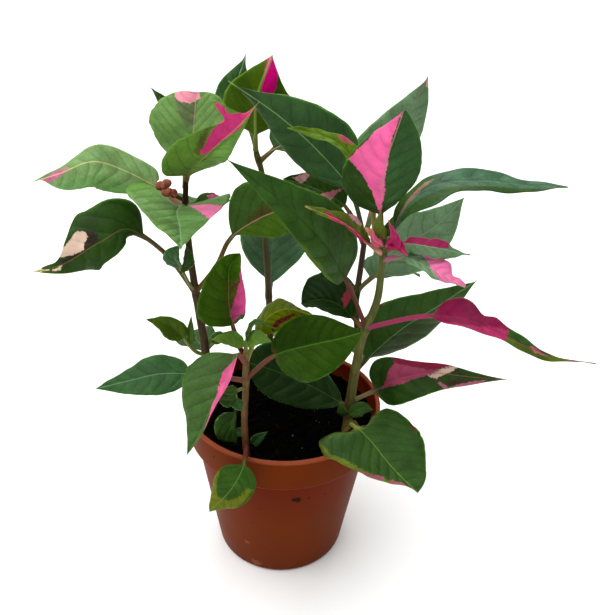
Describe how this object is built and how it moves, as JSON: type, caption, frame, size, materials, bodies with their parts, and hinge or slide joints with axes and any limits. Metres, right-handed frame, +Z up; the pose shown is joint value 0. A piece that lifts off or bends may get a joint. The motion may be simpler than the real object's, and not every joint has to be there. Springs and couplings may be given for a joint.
{
  "type": "potted alternanthera",
  "caption": "Leafy house plant with green and pink variegated leaves on thin upright stems, growing in soil in a round plastic nursery pot that stands on its base.",
  "frame": {"origin": "middle of the pot's flat base", "axes": "+Z up along the pot's axis, +X to the viewer's right in the picture, +Y away from the viewer"},
  "size_m": [0.261, 0.129, 0.269],
  "materials": {
    "pot_plastic": "satin",
    "soil": "rough",
    "brown_stem": "satin",
    "green_stem": "satin",
    "green_leaf": "satin",
    "light_leaf": "satin",
    "pink_leaf": "satin",
    "buds": "satin"
  },
  "bodies": {
    "root": {"bud_cluster": "buds", "leaf_back_foot": "green_leaf", "leaf_back_high": "green_leaf", "leaf_back_left": "green_leaf", "leaf_back_low": "green_leaf", "leaf_back_lowest": "green_leaf", "leaf_back_middle": "green_leaf", "leaf_back_right": "green_leaf", "leaf_behind_centre": "green_leaf", "leaf_below_centre": "green_leaf", "leaf_centre": "green_leaf", "leaf_centre_strip": "green_leaf", "leaf_crown": "green_leaf", "leaf_crown_back": "green_leaf", "leaf_crown_left": "pink_leaf", "leaf_far_left": "light_leaf", "leaf_front_heart": "green_leaf", "leaf_front_left": "green_leaf", "leaf_front_lit": "light_leaf", "leaf_front_upright": "green_leaf", "leaf_horned": "pink_leaf", "leaf_left_front": "light_leaf", "leaf_left_inner": "pink_leaf", "leaf_left_low": "green_leaf", "leaf_left_lowest": "green_leaf", "leaf_left_partner": "green_leaf", "leaf_left_spike": "green_leaf", "leaf_low_heart": "light_leaf", "leaf_low_shaded": "green_leaf", "leaf_over_rim": "light_leaf", "leaf_pink_peak": "pink_leaf", "leaf_right_back": "light_leaf", "leaf_right_curled": "pink_leaf", "leaf_right_folded": "green_leaf", "leaf_right_high": "green_leaf", "leaf_right_long": "green_leaf", "leaf_right_low": "green_leaf", "leaf_right_middle": "green_leaf", "leaf_round_back": "light_leaf", "leaf_teal": "green_leaf", "leaf_top_centre": "green_leaf", "leaf_top_right": "green_leaf", "pot": "pot_plastic", "seedling_left": "light_leaf", "seedling_middle": "light_leaf", "soil": "soil", "sprig_crown": "pink_leaf", "sprig_front_node": "green_leaf", "sprig_front_top": "green_leaf", "sprig_left": "green_leaf", "sprig_left_inner": "green_leaf", "sprig_left_low": "green_leaf", "sprig_right_foot": "green_leaf", "stem_back": "brown_stem", "stem_front": "brown_stem", "stem_left": "brown_stem", "stem_middle": "brown_stem", "stem_right": "green_stem"}
  },
  "joints": []
}
